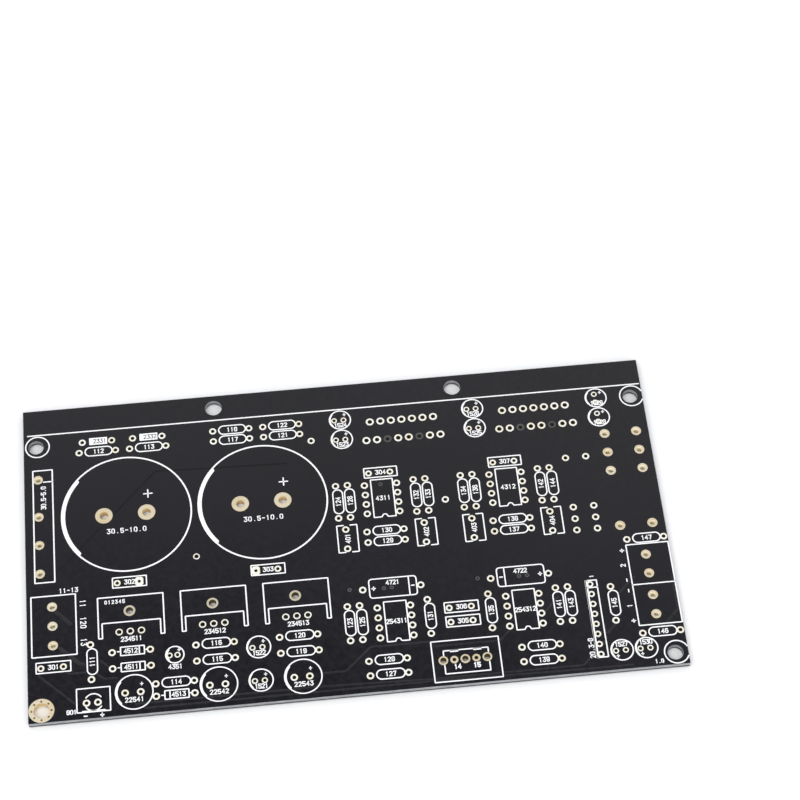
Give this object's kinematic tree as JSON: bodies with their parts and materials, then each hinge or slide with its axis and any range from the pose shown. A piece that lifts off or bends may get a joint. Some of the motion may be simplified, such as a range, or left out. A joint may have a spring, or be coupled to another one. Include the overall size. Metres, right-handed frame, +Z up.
{
  "type": "amplifier circuit board",
  "caption": "Bare black circuit board of a stereo amplifier, with gold plated holes and white part outlines, drilled and unpopulated.",
  "frame": {"origin": "middle of the underside of the board", "axes": "+X along the board to the output end, +Y to the bare strip that meets the heat sink, +Z up from the side that carries the parts"},
  "size_m": [0.149, 0.0816, 0.0016],
  "materials": {
    "board": "satin black coat over glass-fibre laminate, pale at the cut edges",
    "gold": "thin matt gold over copper",
    "print": "white screen-printed ink"
  },
  "bodies": {
    "root": {"board": "board", "box_capacitor_outlines": "print", "bridge_rectifier_lands": "gold", "bridge_rectifier_outlines": "print", "can_outlines": "print", "chip_outlines": "print", "close_can_outlines": "print", "coupling_capacitor_outlines": "print", "earth_land": "gold", "film_capacitor_outlines": "print", "fixing_ring_outlines": "print", "input_connector_lands": "gold", "input_connector_outlines": "print", "large_can_outlines": "print", "led_outlines": "print", "mains_terminal_lands": "gold", "mains_terminal_outlines": "print", "output_terminal_lands": "gold", "output_terminal_outlines": "print", "power_diode_outlines": "print", "protection_chip_outlines": "print", "regulator_lug_lands": "gold", "regulator_outlines": "print", "relay_lands": "gold", "reservoir_capacitor_lands": "gold", "reservoir_capacitor_outlines": "print", "resistor_outlines": "print", "small_can_outlines": "print", "small_diode_outlines": "print", "strip_line": "print", "test_point_lands": "gold"}
  },
  "joints": []
}
